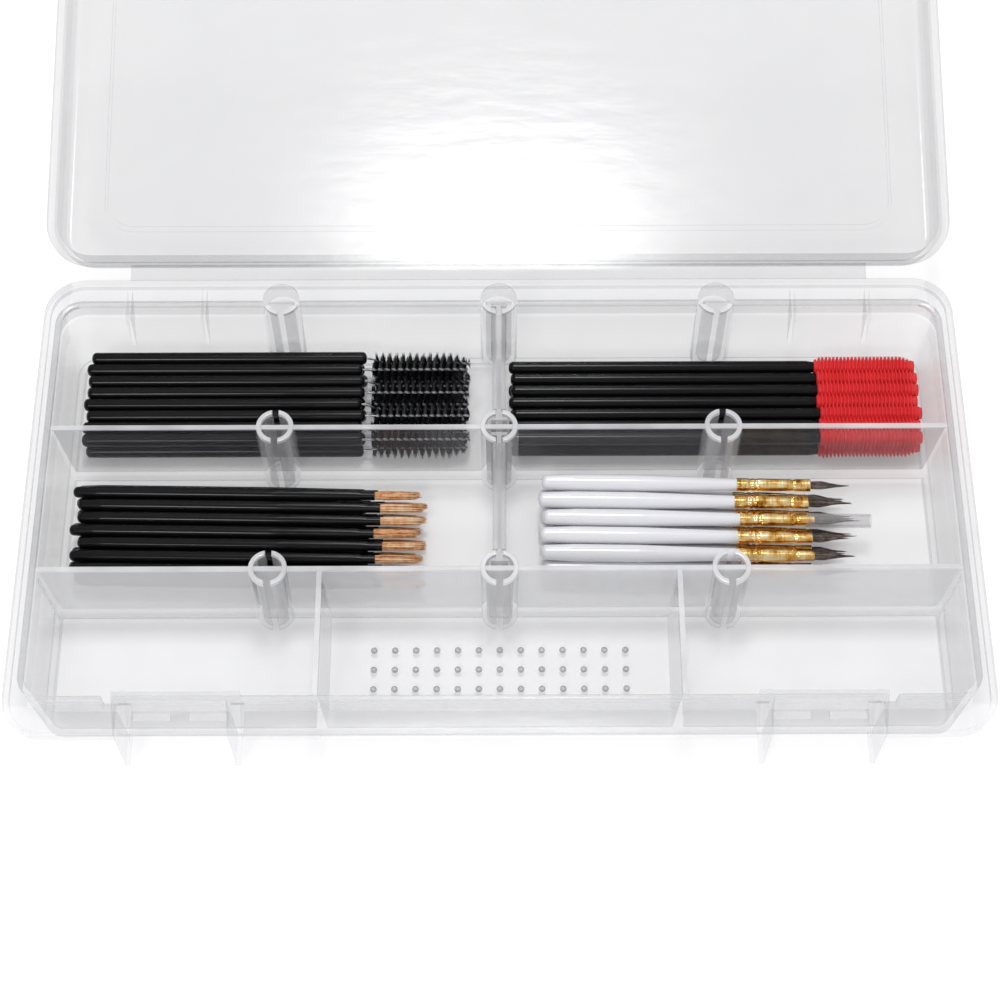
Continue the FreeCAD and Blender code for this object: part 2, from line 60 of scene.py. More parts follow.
# --- where the applicators lie, in millimetres, as in the tray's design ---
FLOOR_TOP = 1.5
STACK_GAP = 0.06
SPOOLIES = {
    "tail_x": -105.6,
    "first_y": 22.7,
    "pitch": 3.45,
    "radius": 1.65,
    "layers": ((8, 0), (7, 0.5), (8, 0)),
    "scatter": 0.5,
    "yaw": 0.0,
}
SILICONE_WANDS = {
    "tail_x": 2.9,
    "first_y": 22.8,
    "pitch": 3.5,
    "radius": 1.65,
    "layers": ((7, 0), (6, 0.5), (7, 0)),
    "scatter": 0.4,
    "yaw": 0.0,
}
LIP_BRUSHES = {
    "tail_x": -105.6,
    "first_y": -13.3,
    "pitch": 3.55,
    "radius": 1.6,
    "layers": ((7, 0), (8, -0.5), (7, 0)),
    "scatter": 1.2,
    "yaw": -1.0,
}
LINER_BRUSHES = {
    "tail_x": 10.4,
    "first_y": -10.4,
    "pitch": 4.9,
    "radius": 2.15,
    "layers": ((5, 0), (5, -0.5), (5, 0)),
    "scatter": 0.6,
    "yaw": -1.0,
}

SPOOLIE_HANDLE = 71.0
SPOOLIE_NECK = 2.0
SPOOLIE_HEAD = 25.0
SPOOLIE_TWIST = 3.5
SILICONE_HANDLE = 78.6
SILICONE_HEAD = 26.0
LIP_NECK_END = 75.5
LIP_HAIR = 10.5
LINER_HANDLE = 49.0
LINER_FERRULE = 18.0
LINER_HAIR = 10.0

# --- where the tray's features lie, in metres, for the painted highlights, painted shade and paler painted areas in its finish ---
TRAY_INSIDE_X = 0.1098
TRAY_INSIDE_Y = (-0.0548, 0.0513)
TRAY_OUTSIDE_X = 0.1099
FRONT_WALL_Y = (-0.08, -0.0549)
RIM_Y = (-0.0572, 0.0572)
POST_PITCH = 0.055
POST_REACH = 0.0048
POST_ROWS_Y = ((0.0115, 0.0211), (-0.0271, -0.0175), (0.0485, 0.059))
PAINTED_PALE_PARTITION_Y = (-0.0245, -0.0201)
PAINTED_PALE_PARTITION_Z = (0.0022, 0.0262)
TOP_EDGE_Z = (0.0261, 0.0275)
FOOT_Z = (0.00153, 0.0021)
POST_Z = (0.002, 0.03)
FRONT_WALL_Z = (0.0022, 0.03)
FLANK_Z = (0.015, 0.03)


# ---------------------------------------------------------------- surfaces

def smooth_step(t):
    """0 before 0, 1 after 1, and the cubic 3t^2 - 2t^3 between them."""
    t = np.clip(t, 0.0, 1.0)
    return t * t * (3.0 - 2.0 * t)


def lathe(x, radius, sides):
    """Surface of revolution about X: point = (x, r cos a, r sin a), with a centre point closing each end."""
    angle = np.arange(sides) * TURN / sides
    rings = round_rings(x, np.broadcast_to(radius[:, None], (len(x), sides)), angle)
    return close_rings(rings, np.array([x[0], 0.0, 0.0]), np.array([x[-1], 0.0, 0.0]))


def round_rings(x, radius, angle):
    """Rings across X whose radius is given at every step and angle."""
    along = np.broadcast_to(x[:, None], radius.shape)
    return np.stack([along, radius * np.cos(angle), radius * np.sin(angle)], axis=-1)


def close_rings(rings, first_pole, last_pole):
    """Joins successive rings of equal size with triangles and fans each end ring to its pole,
    all facing outwards."""
    count, sides, _ = rings.shape
    points = np.concatenate([rings.reshape(-1, 3), [first_pole], [last_pole]])
    ring, side = np.meshgrid(np.arange(count - 1), np.arange(sides), indexing="ij")
    following = (side + 1) % sides
    a = ring * sides + side
    b = ring * sides + following
    c = (ring + 1) * sides + following
    d = (ring + 1) * sides + side
    skin = np.concatenate([np.stack([a, b, c], -1).reshape(-1, 3), np.stack([a, c, d], -1).reshape(-1, 3)])
    edge = np.arange(sides)
    after = (edge + 1) % sides
    start = np.stack([np.full(sides, count * sides), after, edge], -1)
    base = (count - 1) * sides
    end = np.stack([np.full(sides, count * sides + 1), base + edge, base + after], -1)
    faces = np.concatenate([skin, start, end])
    return points, faces[:, ::-1]


def carried_tube(path, radius, sides):
    """A round section carried along a path: ring = path + r (cos a N + sin a B), where N and B are
    square to the path."""
    tangent = np.gradient(path, axis=0)
    tangent /= np.linalg.norm(tangent, axis=1, keepdims=True)
    upright = abs(tangent[:, 2]).max() < 0.9
    reference = np.array([0.0, 0.0, 1.0]) if upright else np.array([0.0, 1.0, 0.0])
    normal = np.cross(reference, tangent)
    normal /= np.linalg.norm(normal, axis=1, keepdims=True)
    binormal = np.cross(tangent, normal)
    angle = np.arange(sides) * TURN / sides
    radius = np.broadcast_to(radius, len(path))
    cosine = np.cos(angle)[None, :, None] * normal[:, None, :]
    sine = np.sin(angle)[None, :, None] * binormal[:, None, :]
    rings = path[:, None, :] + radius[:, None, None] * (cosine + sine)
    return close_rings(rings, path[0], path[-1])


def together(parts):
    """One point array and one face array from several (points, faces) pairs."""
    starts = np.cumsum([0] + [len(points) for points, _ in parts])
    points = np.concatenate([points for points, _ in parts])
    faces = np.concatenate([faces + start for (_, faces), start in zip(parts, starts)])
    return points, faces


def spikes(root, tip, width):
    """Three-sided spikes from root to tip points: each base corner = root + width (cos a N + sin a B)."""
    along = tip - root
    along /= np.linalg.norm(along, axis=1, keepdims=True)
    side = np.cross(along, np.array([1.0, 0.13, 0.07]))
    side /= np.linalg.norm(side, axis=1, keepdims=True)
    across = np.cross(along, side)
    angle = np.arange(3) * TURN / 3
    corners = root[:, None, :] + width * (
        np.cos(angle)[None, :, None] * side[:, None, :] + np.sin(angle)[None, :, None] * across[:, None, :]
    )
    points = np.concatenate([corners, tip[:, None, :]], axis=1).reshape(-1, 3)
    pattern = np.array([[0, 1, 3], [1, 2, 3], [2, 0, 3], [0, 2, 1]])
    faces = (np.arange(len(root)) * 4)[:, None, None] + pattern[None]
    return points, faces.reshape(-1, 3)


def tapered_strands(paths, widths):
    """Three-sided hairs: a triangle of the width at each step is carried along every path and
    closed at both ends."""
    count, steps, _ = paths.shape
    tangent = np.gradient(paths, axis=1)
    tangent /= np.linalg.norm(tangent, axis=2, keepdims=True)
    side = np.cross(tangent, np.array([0.05, 0.3, 1.0]))
    side /= np.linalg.norm(side, axis=2, keepdims=True)
    across = np.cross(tangent, side)
    angle = np.arange(3) * TURN / 3
    rings = paths[:, :, None, :] + widths[None, :, None, None] * (
        np.cos(angle)[:, None] * side[:, :, None, :] + np.sin(angle)[:, None] * across[:, :, None, :]
    )
    points = rings.reshape(-1, 3)
    step, corner = np.meshgrid(np.arange(steps - 1), np.arange(3), indexing="ij")
    after = (corner + 1) % 3
    a = step * 3 + corner
    b = step * 3 + after
    c = (step + 1) * 3 + after
    d = (step + 1) * 3 + corner
    skin = np.concatenate([np.stack([a, b, c], -1).reshape(-1, 3), np.stack([a, c, d], -1).reshape(-1, 3)])
    last = (steps - 1) * 3
    ends = np.array([[0, 2, 1], [last, last + 1, last + 2]])
    pattern = np.concatenate([skin, ends])
    faces = (np.arange(count) * steps * 3)[:, None, None] + pattern[None]
    return points, faces.reshape(-1, 3)


# ---------------------------------------------------------------- laying

def layer_places(kit, layer):
    """Tails of one layer's applicators: rows one pitch apart, layers nested in each other's gaps."""
    number, shift = kit["layers"][layer]
    spacing = 2.0 * kit["radius"] + STACK_GAP
    rise = math.sqrt(spacing**2 - (kit["pitch"] / 2.0) ** 2)
    index = np.arange(number)
    x = kit["tail_x"] + kit["scatter"] * np.sin(2.4 * index + 1.7 * layer)
    y = kit["first_y"] + (index + shift) * kit["pitch"]
    z = np.full(number, FLOOR_TOP + STACK_GAP + kit["radius"] + layer * rise)
    return np.stack([x, y, z], axis=-1)


def lay(shapes, kit, layer, sink_from=0.0, sink_over=1.0, sink=None):
    """One shape per applicator, rolled already: z sinks by a smooth step along x, then the yaw turns
    the shape and it moves to its tail's place."""
    yaw = math.radians(kit["yaw"])
    parts = []
    for number, (place, (points, faces)) in enumerate(zip(layer_places(kit, layer), shapes)):
        drop = 0.0 if sink is None else sink[number]
        x, y, z = points.T
        z = z - drop * smooth_step((x - sink_from) / sink_over)
        turned_x = x * math.cos(yaw) - y * math.sin(yaw)
        turned_y = x * math.sin(yaw) + y * math.cos(yaw)
        moved = np.stack([turned_x, turned_y, z], -1)
        parts.append((moved + place, faces))
    return together(parts)


def rolled(shape, degrees):
    """The shape turned about X."""
    points, faces = shape
    c, s = math.cos(math.radians(degrees)), math.sin(math.radians(degrees))
    x, y, z = points.T
    return np.stack([x, y * c - z * s, y * s + z * c], -1), faces


def piece(name, shape, material, body, replaced, smooth=True):
    """A mesh object from points in millimetres, riding on a body in place of CAD nodes."""
    points, faces = shape
    mesh = bpy.data.meshes.new(name)
    mesh.from_pydata((points * MM).tolist(), [], faces.tolist())
    mesh.polygons.foreach_set("use_smooth", np.full(len(mesh.polygons), smooth))
    mesh.update()
    mesh.materials.append(material)
    made = bpy.data.objects.new(name, mesh)
    bpy.context.scene.collection.objects.link(made)
    if body:
        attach(made, body)
    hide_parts(*replaced)
    return made


# ---------------------------------------------------------------- finishes

class Shade:
    """A socket in a material. Arithmetic on it adds Math nodes, and add() makes any other node."""

    def __init__(self, tree, socket=None):
        self.tree = tree
        self.socket = socket

    def add(self, kind, settings=None, stops=None, output=0, **inputs):
        """A node of a kind: its settings and ramp stops first, then values or links for its sockets."""
        node = self.tree.nodes.new(kind)
        for key, value in (settings or {}).items():
            setattr(node, key, value)
        if stops:
            ramp = node.color_ramp
            while len(ramp.elements) < len(stops):
                ramp.elements.new(0.5)
            for element, (position, stop_colour) in zip(ramp.elements, stops):
                element.position = position
                element.color = stop_colour
        for key, value in inputs.items():
            target = node.inputs[int(key[1:]) if key[0] == "_" else key.replace("__", " ")]
            if isinstance(value, Shade):
                self.tree.links.new(value.socket, target)
            else:
                target.default_value = value
        return Shade(self.tree, node.outputs[output] if node.outputs else None)

    def math(self, operation, first, second=0.0):
        """A Math node on two values or links."""
        return self.add("ShaderNodeMath", {"operation": operation}, _0=first, _1=second)

    def __add__(self, other):
        return self.math("ADD", self, other)

    def __radd__(self, other):
        return self.math("ADD", other, self)

    def __sub__(self, other):
        return self.math("SUBTRACT", self, other)

    def __rsub__(self, other):
        return self.math("SUBTRACT", other, self)

    def __mul__(self, other):
        return self.math("MULTIPLY", self, other)

    def __rmul__(self, other):
        return self.math("MULTIPLY", other, self)

    def __pow__(self, other):
        return self.math("POWER", self, other)


def colour(red, green, blue):
    """An opaque colour, linear."""
    return (red, green, blue, 1.0)


def new_material(name):
    """An empty material, its tree and the Object coordinates that its patterns follow."""
    material = bpy.data.materials.new(name)
    material.use_nodes = True
    material.node_tree.nodes.clear()
    tree = Shade(material.node_tree)
    coordinates = tree.add("ShaderNodeTexCoord", output=3)
    return material, tree, coordinates


def noise(tree, coordinates, scale, detail):
    """Cloudy values from 0 to 1 at a scale per metre."""
    return tree.add("ShaderNodeTexNoise", Vector=coordinates, Scale=scale, Detail=detail, Roughness=0.55)


def stretched(tree, coordinates, x, y, z):
    """Coordinates scaled along each axis."""
    return tree.add("ShaderNodeMapping", Vector=coordinates, Scale=(x, y, z))


def bump(tree, height, distance, strength):
    """Relief of a height in metres."""
    return tree.add("ShaderNodeBump", Height=height, Distance=distance, Strength=strength)


def blend_colours(tree, factor, first, second):
    """The first colour at 0 and the second at 1."""
    return tree.add("ShaderNodeMix", {"data_type": "RGBA"}, output=2, _0=factor, _6=first, _7=second)


def finish_with(tree, **inputs):
    """Ends a material with one principled surface."""
    surface = tree.add("ShaderNodeBsdfPrincipled", **inputs)
    tree.add("ShaderNodeOutputMaterial", Surface=surface)


def between(value, low, high):
    """1 where a value lies between two limits, else 0."""
    return value.math("GREATER_THAN", value, low) * value.math("LESS_THAN", value, high)


def clear_polypropylene(name, thin=0.055, dense=0.3, tint=(0.13, 0.13, 0.155), painted_highlight_strength=0.0):
    """See-through moulded plastic: clear where it is met square on, greyer along the wall.
    With a top-edge strength, the round top edges of the tray get a painted highlight, the fillets at the foot
    of each wall get painted shade, denser and darker, the middle partition, the posts and the front wall
    are painted paler as lit plastic, and the side flanks are painted a denser grey as shaded plastic."""
    material, tree, at = new_material(name)
    cloud = noise(tree, at, 70.0, 2.0)
    grain = noise(tree, at, 2600.0, 2.0)
    flow = noise(tree, stretched(tree, at, 18.0, 60.0, 60.0), 4.0, 2.0)
    edge = tree.add("ShaderNodeLayerWeight", output=1, Blend=0.5)
    alpha = thin + edge**2.0 * dense + (cloud - 0.5) * 0.03
    lift = colour(tint[0] + 0.07, tint[1] + 0.07, tint[2] + 0.06)
    shade = blend_colours(tree, cloud, colour(*tint), lift)
    if painted_highlight_strength:
        x = tree.add("ShaderNodeSeparateXYZ", output=0, Vector=at)
        y = tree.add("ShaderNodeSeparateXYZ", output=1, Vector=at)
        z = tree.add("ShaderNodeSeparateXYZ", output=2, Vector=at)
        inside = between(x, -TRAY_INSIDE_X, TRAY_INSIDE_X) * between(y, *TRAY_INSIDE_Y)
        side = x.math("ABSOLUTE", x)
        beyond = side - POST_PITCH
        post_distance = side.math("MINIMUM", side, beyond.math("ABSOLUTE", beyond))
        rear, middle, back = [between(y, *row) for row in POST_ROWS_Y]
        # painted light: the posts are painted paler and a little denser than the rest of the plastic
        painted_pale_posts = between(post_distance, -1.0, POST_REACH) * (rear + middle + back) * between(z, *POST_Z)
        # painted light: the middle partition is painted paler and denser than the other walls of the same
        # plastic
        painted_pale_partition = between(y, *PAINTED_PALE_PARTITION_Y) * between(z, *PAINTED_PALE_PARTITION_Z) * inside
        # painted highlight on the top edges: inside walls at the given strength, the outer rim at 0.16
        crown = between(z, *TOP_EDGE_Z) * (inside * painted_highlight_strength + between(y, *RIM_Y) * 0.16)
        # painted shade: the foot of each inside wall is drawn denser in the dark tint, a darker line along
        # the crease
        foot = between(z, *FOOT_Z) * inside
        # the painted highlight, varied by the cloud noise; it adds to alpha and whitens the colour below
        painted_highlight = crown * (0.75 + cloud * 0.5)
        # painted light: the front wall and front flange are painted paler and a little denser
        front = between(y, *FRONT_WALL_Y) * between(z, *FRONT_WALL_Z)
        # painted shade: the upper outer side walls and side flanges are painted a denser mid-grey
        painted_grey_flank = between(side, TRAY_OUTSIDE_X, 0.13) * between(z, *FLANK_Z)
        alpha = alpha + painted_highlight + foot * 0.2 + painted_pale_posts * 0.08 + painted_pale_partition * 0.38 + front * 0.09 + painted_grey_flank * 0.1
        # how far the colour is pushed to pale grey-white: the painted highlight, the paler painted posts,
        # partition and front, and the flanks' painted grey
        white = painted_highlight.math("MAXIMUM", painted_highlight * 1.4, painted_pale_posts * 0.7)
        white = white.math("MAXIMUM", white, painted_pale_partition * 0.85)
        white = white.math("MAXIMUM", white, front * 0.9 + painted_grey_flank * 0.45)
        shade = blend_colours(tree, white, shade, colour(0.88, 0.88, 0.91))
    rough = 0.1 + flow * 0.1 + grain * 0.05
    relief = bump(tree, flow + grain * 0.12, 0.00012, 0.6)
    finish_with(
        tree,
        Base__Color=shade,
        Roughness=rough,
        Alpha=alpha,
        Normal=relief,
        IOR=1.8,
        Specular__IOR__Level=0.8,
    )
    return material


def gloss_handle(name, dark, light, spread, gloss):
    """Moulded styrene: slight colour drift, draw lines along the bar and a fine skin of scuffs."""
    material, tree, at = new_material(name)
    drift = noise(tree, at, 90.0, 2.0)
    lines = noise(tree, stretched(tree, at, 30.0, 900.0, 900.0), 1.0, 3.0)
    scuffs = noise(tree, at, 1900.0, 4.0)
    shade = blend_colours(tree, drift * spread + scuffs * (1.0 - spread), dark, light)
    rough = 0.12 + lines * 0.06 + scuffs * 0.08
    relief = bump(tree, drift * 0.8 + scuffs * 0.2, 0.00003, 0.25)
    finish_with(
        tree,
        Base__Color=shade,
        Roughness=rough,
        Normal=relief,
        IOR=1.5,
        Specular__IOR__Level=gloss,
    )
    return material


def bristle_nylon():
    """Dyed nylon: near black with a cold sheen, and paler where single bristles catch light."""
    material, tree, at = new_material("dyed_nylon_bristle")
    fine = noise(tree, at, 2400.0, 3.0)
    broad = noise(tree, at, 160.0, 2.0)
    shade = blend_colours(tree, fine * broad, colour(0.002, 0.002, 0.003), colour(0.014, 0.015, 0.02))
    rough = 0.34 + fine * 0.2
    relief = bump(tree, fine, 0.00002, 0.4)
    finish_with(
        tree,
        Base__Color=shade,
        Roughness=rough,
        Normal=relief,
        IOR=1.5,
        Specular__IOR__Level=0.35,
    )
    return material


def twisted_steel():
    """Bright drawn wire, with fine lines along it."""
    material, tree, at = new_material("twisted_steel_wire")
    drawn = noise(tree, stretched(tree, at, 200.0, 3000.0, 3000.0), 1.0, 2.0)
    shade = blend_colours(tree, drawn, colour(0.42, 0.43, 0.46), colour(0.72, 0.73, 0.76))
    rough = 0.24 + drawn * 0.18
    relief = bump(tree, drawn, 0.00002, 0.4)
    finish_with(tree, Base__Color=shade, Roughness=rough, Metallic=1.0, Normal=relief)
    return material


def red_silicone():
    """Soft red rubber: saturated, with powdery high spots and a waxy gloss."""
    material, tree, at = new_material("red_silicone_rubber")
    broad = noise(tree, at, 240.0, 3.0)
    fine = noise(tree, at, 3200.0, 3.0)
    powder = broad * 0.6 + fine * 0.4
    shade = blend_colours(tree, powder, colour(0.62, 0.01, 0.018), colour(0.92, 0.055, 0.06))
    rough = 0.38 + fine * 0.25
    finish_with(
        tree,
        Base__Color=shade,
        Roughness=rough,
        Normal=bump(tree, fine, 0.00004, 0.5),
        IOR=1.43,
        Subsurface__Weight=0.12,
        Subsurface__Scale=0.0012,
    )
    return material


def hair(name, root, middle, tip):
    """Synthetic hair: colour changes from strand to strand and along the strand, with a silky gloss."""
    material, tree, at = new_material(name)
    strand = noise(tree, stretched(tree, at, 60.0, 2600.0, 2600.0), 1.0, 3.0)
    patch = noise(tree, at, 700.0, 2.0)
    shade = tree.add(
        "ShaderNodeValToRGB",
        stops=((0.38, root), (0.48, middle), (0.6, tip)),
        Fac=strand * 0.7 + patch * 0.3,
    )
    rough = 0.28 + patch * 0.2
    relief = bump(tree, strand, 0.00003, 0.5)
    finish_with(tree, Base__Color=shade, Roughness=rough, Normal=relief, IOR=1.5)
    return material


def gold_ferrule():
    """Thin gilt aluminium: polished, with draw lines round it and dents; patches from dark amber to pale gold
    are partly warm, tarnished metal and partly painted reflection.
    """
    material, tree, at = new_material("gilt_ferrule")
    tarnish_and_painted_reflection = noise(tree, at, 330.0, 4.0)
    ring = noise(tree, stretched(tree, at, 2600.0, 70.0, 70.0), 1.0, 2.0)
    # painted reflection in part: the dark amber and pale gold ends stand for dark bands and bright highlights
    # on the polished metal, as well as tarnished patches
    stops = (
        (0.36, colour(0.3, 0.11, 0.02)),
        (0.46, colour(0.82, 0.46, 0.1)),
        (0.6, colour(1.0, 0.86, 0.5)),
    )
    shade = tree.add("ShaderNodeValToRGB", stops=stops, Fac=tarnish_and_painted_reflection * 0.75 + ring * 0.25)
    rough = 0.1 + tarnish_and_painted_reflection * 0.2
    relief = bump(tree, ring * 0.5 + tarnish_and_painted_reflection, 0.00006, 0.6)
    finish_with(tree, Base__Color=shade, Roughness=rough, Metallic=1.0, Normal=relief)
    return material


def pale_table():
    """Matt near-white laminate that glows a little, so that it stays white in the case's shadow."""
    material, tree, at = new_material("pale_table")
    faint = noise(tree, at, 22.0, 3.0)
    shade = blend_colours(tree, faint, colour(0.93, 0.93, 0.935), colour(0.96, 0.96, 0.965))
    rough = 0.75 + faint * 0.1
    finish_with(tree, Base__Color=shade, Roughness=rough, Emission__Color=shade, Emission__Strength=0.22)
    return material


POLYPROPYLENE = clear_polypropylene("clear_polypropylene_sheet", thin=0.13)
# with a top-edge strength, the tray and the dividers get the painted highlight and the painted shade, paler
# and greyer areas of clear_polypropylene
TRAY_POLYPROPYLENE = clear_polypropylene("clear_polypropylene_tray", painted_highlight_strength=0.46)
DIVIDER_POLYPROPYLENE = clear_polypropylene("clear_polypropylene_divider", painted_highlight_strength=0.24)
SLEEVE = clear_polypropylene("clear_tip_sleeve", 0.15, 0.5, (0.62, 0.61, 0.63))
BLACK_HANDLE = gloss_handle(
    "black_styrene_handle",
    colour(0.0015, 0.0015, 0.002),
    colour(0.006, 0.006, 0.007),
    spread=0.5,
    gloss=0.2,
)
WHITE_HANDLE = gloss_handle(
    "white_styrene_handle",
    colour(0.78, 0.78, 0.82),
    colour(0.86, 0.86, 0.89),
    spread=0.6,
    gloss=0.5,
)
BRISTLE = bristle_nylon()
STEEL = twisted_steel()
SILICONE = red_silicone()
# painted light in part: the pale tip colour paints bright highlight streaks and the dark root colour paints
# shade in the gaps between strands, spread by noise together with the hair's own change of colour
AMBER_HAIR = hair(
    "amber_brush_hair",
    root=colour(0.36, 0.1, 0.03),
    middle=colour(0.95, 0.46, 0.17),
    tip=colour(1.0, 0.85, 0.62),
)
BROWN_HAIR = hair(
    "brown_brush_hair",
    root=colour(0.025, 0.018, 0.016),
    middle=colour(0.09, 0.065, 0.055),
    tip=colour(0.24, 0.19, 0.17),
)
FERRULE = gold_ferrule()

finish_of_slot = {
    "clear_polypropylene": POLYPROPYLENE,
    "clear_sleeve": SLEEVE,
    "black_handle": BLACK_HANDLE,
    "white_handle": WHITE_HANDLE,
    "black_bristle": BRISTLE,
    "steel_wire": STEEL,
    "red_silicone": SILICONE,
    "amber_hair": AMBER_HAIR,
    "brown_hair": BROWN_HAIR,
    "gold_ferrule": FERRULE,
}
slot_of_node = {part["node"]: part["material_slot"] for part in frame["record"]["subparts"]}
special_finish = {
    "base_tray": TRAY_POLYPROPYLENE,
    "rear_divider": DIVIDER_POLYPROPYLENE,
    "middle_divider": DIVIDER_POLYPROPYLENE,
}
for node_name, node in frame["nodes"].items():
    for material_slot in node.material_slots:
        material_slot.material = special_finish.get(node_name, finish_of_slot[slot_of_node[node_name]])


# ---------------------------------------------------------------- spoolies

def bristle_head(seed):
    """Bristles stand out from the wire on both sides along a helix: angle = turn x / twist, and the
    length follows the head's outline."""
    random = np.random.default_rng(seed)
    count = 450
    start = SPOOLIE_HANDLE + SPOOLIE_NECK
    x = start + 0.4 + np.arange(count) * (SPOOLIE_HEAD - 0.8) / count
    narrow_root = 0.7 * (1.0 - smooth_step((x - start) / 3.0))
    round_nose = 1.5 * smooth_step((x - start - SPOOLIE_HEAD + 5.5) / 5.5)
    outline = 3.05 - narrow_root - round_nose
    angle = TURN * x / SPOOLIE_TWIST + random.normal(0.0, 0.16, count)
    parts = []
    for side in (0.0, math.pi):
        reach = outline * (1.0 + random.normal(0.0, 0.035, count))
        lean = random.normal(0.0, 0.14, count)
        turn = angle + side
        root = np.stack([x, 0.1 * np.cos(turn), 0.1 * np.sin(turn)], -1)
        tip = np.stack([x + lean, reach * np.cos(turn), reach * np.sin(turn)], -1)
        parts.append(spikes(root, tip, 0.15))
    return together(parts)


def twisted_wire():
    """Two round wires wound about the axis: centre line = wire radius (cos, sin) of turn x / twist."""
    wire_radius = 0.19
    start = SPOOLIE_HANDLE - 3.5
    end = SPOOLIE_HANDLE + SPOOLIE_NECK + SPOOLIE_HEAD - 0.3
    x = np.linspace(start, end, 110)
    parts = []
    for side in (0.0, math.pi):
        turn = TURN * x / SPOOLIE_TWIST + side
        path = np.stack([x, wire_radius * np.cos(turn), wire_radius * np.sin(turn)], -1)
        parts.append(carried_tube(path, wire_radius, 6))
    return together(parts)


SPOOLIE_SINK = {
    "bottom": (-1.5, -1.2, -1.6, -1.3, -1.5, -1.2, -1.6, -1.4),
    "middle": (0.2,) * 7,
    "top": (0.0, 2.6) * 4,
}
SINK_FROM = SPOOLIE_HANDLE
SINK_OVER = 5.0
for layer, layer_name in enumerate(LAYERS):
    sinks = SPOOLIE_SINK[layer_name]
    heads = [rolled(bristle_head(40 * layer + n), 53.0 * n + 17.0 * layer) for n in range(len(sinks))]
    wires = [rolled(twisted_wire(), 53.0 * n + 17.0 * layer) for n in range(len(sinks))]
    piece(
        "bristles_" + layer_name,
        lay(heads, SPOOLIES, layer, SINK_FROM, SINK_OVER, sinks),
        BRISTLE,
        "spoolie_bundle",
        ["spoolie_heads_" + layer_name],
        smooth=False,
    )
    piece(
        "twisted_wires_" + layer_name,
        lay(wires, SPOOLIES, layer, SINK_FROM, SINK_OVER, sinks),
        STEEL,
        "spoolie_bundle",
        ["spoolie_wires_" + layer_name],
    )


# ---------------------------------------------------------------- silicone wands

def ribbed_head():
    """Rows of soft nubs round a core, closing at the tip:
    r = core + (outline - core) |sin(pi x / 0.95)|^1.5 (0.8 + 0.2 cos 9a)."""
    x = np.linspace(SILICONE_HANDLE, SILICONE_HANDLE + SILICONE_HEAD, 170)
    along = x - SILICONE_HANDLE
    sides = 27
    angle = np.arange(sides) * TURN / sides
    narrow_root = 0.9 * (1.0 - smooth_step(along / 2.0))
    round_nose = 1.3 * smooth_step((along - SILICONE_HEAD + 4.0) / 4.0)
    outline = 2.95 - narrow_root - round_nose
    core = np.minimum(1.5, outline)
    fin = np.abs(np.sin(math.pi * along / 0.95)) ** 1.5
    nub = 0.8 + 0.2 * np.cos(9 * angle)
    radius = core[:, None] + (outline - core)[:, None] * fin[:, None] * nub[None, :]
    radius[-1] *= 0.55
    rings = round_rings(x, radius, angle)
    return close_rings(rings, np.array([x[0], 0.0, 0.0]), np.array([x[-1] + 0.15, 0.0, 0.0]))


SILICONE_SINK = {"bottom": (-1.4,) * 7, "middle": (0.1,) * 6, "top": (0.0, 0.35, -0.2, 0.3, 0.0, 0.25, 0.1)}
for layer, layer_name in enumerate(LAYERS):
    sinks = SILICONE_SINK[layer_name]
    heads = [rolled(ribbed_head(), 41.0 * n + 23.0 * layer) for n in range(len(sinks))]
    piece(
        "ribbed_heads_" + layer_name,
        lay(heads, SILICONE_WANDS, layer, SILICONE_HANDLE - 1.0, 6.0, sinks),
        SILICONE,
        "silicone_bundle",
        ["silicone_heads_" + layer_name],
    )


# ---------------------------------------------------------------- hair tufts

def tuft(seed, start, length, root, belly, tip, count, thickness, blunt):
    """Hairs fill a disc, each at a share sqrt(u) of its radius. The disc swells from the root to the
    belly and closes to the tip, and a core fills it."""
    random = np.random.default_rng(seed)
    steps = 8
    share = np.sqrt(random.random(count))
    angle = random.random(count) * TURN
    reach = 1.0 - blunt * share**2 + random.normal(0.0, 0.03, count)
    t = np.linspace(0.0, 1.0, steps)
    swell = root + (belly - root) * smooth_step(t / 0.4)
    outline = swell + (tip - belly) * smooth_step((t - 0.35) / 0.65)
    stray = random.normal(0.0, 0.06, (count, 1)) * t[None, :] ** 2
    radius = share[:, None] * outline[None, :] + stray
    x = start - 1.0 + (length + 1.0) * t[None, :] * reach[:, None]
    paths = np.stack([x, radius * np.cos(angle)[:, None], radius * np.sin(angle)[:, None]], -1)
    strands = tapered_strands(paths, thickness * (1.0 - 0.55 * t**2))
    core_t = np.linspace(0.0, 1.0, 10)
    core_outline = np.interp(core_t, t, outline) * 0.72
    core = lathe(start - 1.0 + (length * 0.9 + 1.0) * core_t, core_outline * (1.0 - 0.3 * core_t**6), 10)
    return together([strands, core])


for layer, layer_name in enumerate(LAYERS):
    number = LIP_BRUSHES["layers"][layer][0]
    tufts = []
    for n in range(number):
        seed = 500 + 40 * layer + n
        tufts.append(tuft(seed, LIP_NECK_END, LIP_HAIR, 0.95, 1.1, 0.9, 110, 0.085, 0.04))
    piece(
        "lip_tufts_" + layer_name,
        lay(tufts, LIP_BRUSHES, layer),
        AMBER_HAIR,
        "lip_brush_bundle",
        ["lip_hair_" + layer_name],
    )


# ---------------------------------------------------------------- liner brushes

